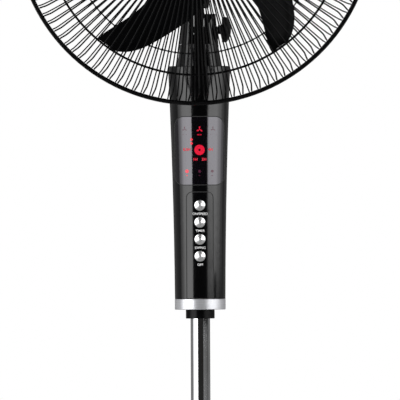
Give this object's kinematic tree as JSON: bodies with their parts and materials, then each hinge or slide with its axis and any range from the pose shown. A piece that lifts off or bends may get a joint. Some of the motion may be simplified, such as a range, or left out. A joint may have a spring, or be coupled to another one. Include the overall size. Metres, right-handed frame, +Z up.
{
  "type": "pedestal fan",
  "caption": "Pedestal fan: weighted round base, telescopic pole, control column, tilting and swinging head with a swept plastic blade in a wire guard.",
  "frame": {"origin": "on the floor under the pole axis, centre of the round base", "axes": "+Z up, air leaves towards -Y, +X to the right of a viewer in front"},
  "size_m": [0.44, 0.4, 1.329],
  "materials": {
    "gloss_black": "gloss moulded",
    "satin_black": "satin moulded",
    "chrome": "polished plating",
    "satin_silver": "fine turned satin",
    "turned_steel": "turned faces",
    "wire_black": "gloss enamel",
    "black_steel": "black enamel",
    "blade_black": "satin moulded",
    "smoked_window": "polished smoked",
    "cast_iron": "rough cast",
    "rubber": "matte",
    "nylon_white": "natural moulded",
    "board_green": "lacquered board",
    "copper_wound": "lacquered wire",
    "bronze": "sintered",
    "aluminium_cast": "as cast",
    "laminated_steel": "stamped stack",
    "zinc_steel": "zinc plated"
  },
  "bodies": {
    "base": {"base_cover": "gloss_black", "base_plate": "satin_black", "base_weight": "cast_iron", "base_feet": "rubber", "base_socket": "gloss_black", "base_screws": "zinc_steel", "outer_pole": "chrome", "pole_bush": "nylon_white", "height_clamp": "satin_black"},
    "height_knob": {"height_knob_stud": "zinc_steel", "height_knob_grip": "satin_black"},
    "column": {"inner_pole": "chrome", "pole_stop": "nylon_white", "pole_collar": "satin_black", "trim_ring": "satin_silver", "column_front_shell": "gloss_black", "column_rear_shell": "gloss_black", "shell_screws": "black_steel", "display_window": "smoked_window", "button_strip": "gloss_black", "control_board": "board_green", "tact_switches": "satin_black", "cord_gland": "rubber", "neck_cover": "gloss_black", "neck_yoke": "gloss_black", "tilt_bolt": "zinc_steel"},
    "speed_button": {"button_speed": "turned_steel"},
    "timer_button": {"button_timer": "turned_steel"},
    "swing_button": {"button_swing": "turned_steel"},
    "off_button": {"button_off": "turned_steel"},
    "tilt_knob": {"tilt_knob": "satin_black"},
    "tilt": {"tilt_bracket": "satin_black", "swing_spindle": "zinc_steel", "sector_gear": "nylon_white"},
    "head": {"gear_case": "satin_black", "gear_case_lid": "satin_black", "swing_bush": "bronze", "swing_motor": "zinc_steel", "motor_stator": "laminated_steel", "motor_windings": "copper_wound", "motor_front_bell": "aluminium_cast", "motor_rear_bell": "aluminium_cast", "motor_bearings": "bronze", "motor_cover": "gloss_black", "motor_front_cover": "gloss_black", "rear_guard_plate": "black_steel", "guard_nut": "satin_black", "rear_guard_ribs": "wire_black", "rear_guard_rings": "wire_black", "guard_rim": "black_steel", "rim_screw": "zinc_steel", "front_guard_ribs": "wire_black", "front_guard_rings": "wire_black", "front_medallion": "gloss_black"},
    "pinion": {"swing_pinion": "nylon_white"},
    "rotor": {"motor_shaft": "zinc_steel", "rotor_core": "laminated_steel", "drive_pin": "zinc_steel", "fan_blade": "blade_black", "blade_nut": "satin_black"}
  },
  "joints": [
    {"name": "height_slide", "type": "slide", "parent": "base", "child": "column", "axis": [0, 0, 1], "range_m": [-0.17, 0.1]},
    {"name": "height_knob_turn", "type": "hinge", "parent": "base", "child": "height_knob", "pos_m": [0, 0, 0.4], "axis": [1, 0, 0], "range_deg": [-270, 0]},
    {"name": "speed_press", "type": "slide", "parent": "column", "child": "speed_button", "axis": [0, 1, 0], "range_m": [0, 0.0012], "stiffness_N_per_m": 900, "springref_m": -0.0009},
    {"name": "timer_press", "type": "slide", "parent": "column", "child": "timer_button", "axis": [0, 1, 0], "range_m": [0, 0.0012], "stiffness_N_per_m": 900, "springref_m": -0.0009},
    {"name": "swing_press", "type": "slide", "parent": "column", "child": "swing_button", "axis": [0, 1, 0], "range_m": [0, 0.0012], "stiffness_N_per_m": 900, "springref_m": -0.0009},
    {"name": "off_press", "type": "slide", "parent": "column", "child": "off_button", "axis": [0, 1, 0], "range_m": [0, 0.0012], "stiffness_N_per_m": 900, "springref_m": -0.0009},
    {"name": "head_tilt", "type": "hinge", "parent": "column", "child": "tilt", "pos_m": [0, 0, 0.975], "axis": [1, 0, 0], "range_deg": [-20, 12]},
    {"name": "tilt_knob_turn", "type": "hinge", "parent": "column", "child": "tilt_knob", "pos_m": [0, 0, 0.975], "axis": [1, 0, 0], "range_deg": [-270, 0]},
    {"name": "head_swing", "type": "hinge", "parent": "tilt", "child": "head", "pos_m": [0, 0, 1.1], "axis": [0, 0, 1], "range_deg": [-40, 40]},
    {"name": "pinion_spin", "type": "hinge", "parent": "head", "child": "pinion", "pos_m": [0, 0.036, 1.04], "axis": [0, 0, 1], "range_deg": [-120, 120]},
    {"name": "fan_spin", "type": "hinge", "parent": "head", "child": "rotor", "pos_m": [-0.005, 0, 1.1], "axis": [0, 1, 0], "continuous": true}
  ],
  "couplings": [
    {"joint": "pinion_spin", "follows": "head_swing", "ratio": 3}
  ]
}
